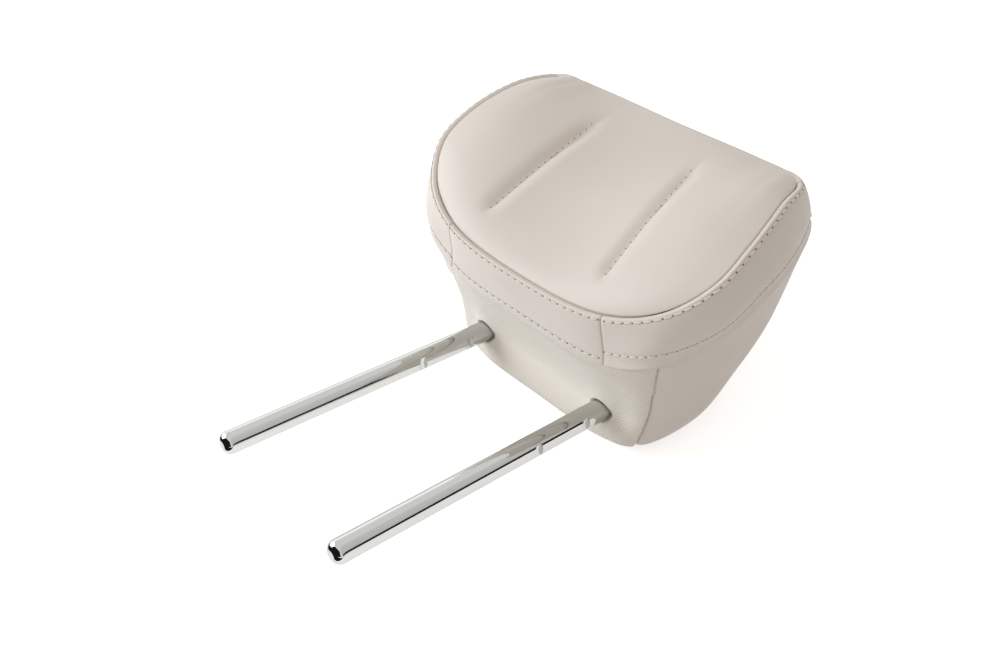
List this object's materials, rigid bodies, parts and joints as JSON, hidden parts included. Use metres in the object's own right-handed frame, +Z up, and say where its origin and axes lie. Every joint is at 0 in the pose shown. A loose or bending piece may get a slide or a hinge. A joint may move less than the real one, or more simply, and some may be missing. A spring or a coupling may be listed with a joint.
{
  "type": "car headrest",
  "caption": "Car headrest with a sewn leather cushion that tilts on a pair of chromed posts.",
  "frame": {"origin": "under the middle of the whole part, on the floor that it lies on", "axes": "+X to the right across the cushion, +Y from the post tips towards the cushion's top, +Z up out of the face"},
  "size_m": [0.2398, 0.339, 0.158],
  "materials": {
    "leather": "satin",
    "stretch_fabric": "matte",
    "chrome": "polished",
    "spring_steel": "satin",
    "foam": "matte",
    "core_plastic": "matte",
    "liner_plastic": "satin"
  },
  "bodies": {
    "cushion": {"foam_cushion": "foam", "face_cover": "leather", "back_cover": "leather", "band_bottom": "leather", "band_right": "leather", "band_left": "leather", "side_panel_right": "leather", "side_panel_left": "leather", "bottom_flap": "stretch_fabric", "bottom_stretch_panel": "stretch_fabric", "closure_strip_front": "liner_plastic", "closure_strip_rear": "liner_plastic", "core_front_shell": "core_plastic", "core_rear_shell": "core_plastic", "core_screw_1": "spring_steel", "core_screw_2": "spring_steel", "core_screw_3": "spring_steel", "core_screw_4": "spring_steel", "clip_screw_left": "spring_steel", "clip_screw_right": "spring_steel", "friction_clip_left": "spring_steel", "friction_clip_right": "spring_steel", "bearing_liner_left": "liner_plastic", "bearing_liner_right": "liner_plastic"},
    "posts": {"post_tube": "chrome", "stop_lug": "spring_steel"}
  },
  "joints": [
    {"name": "tilt", "type": "hinge", "parent": "cushion", "child": "posts", "pos_m": [0, 0.06443, 0.02086], "axis": [-1, 0, 0], "range_deg": [0, 20]}
  ]
}
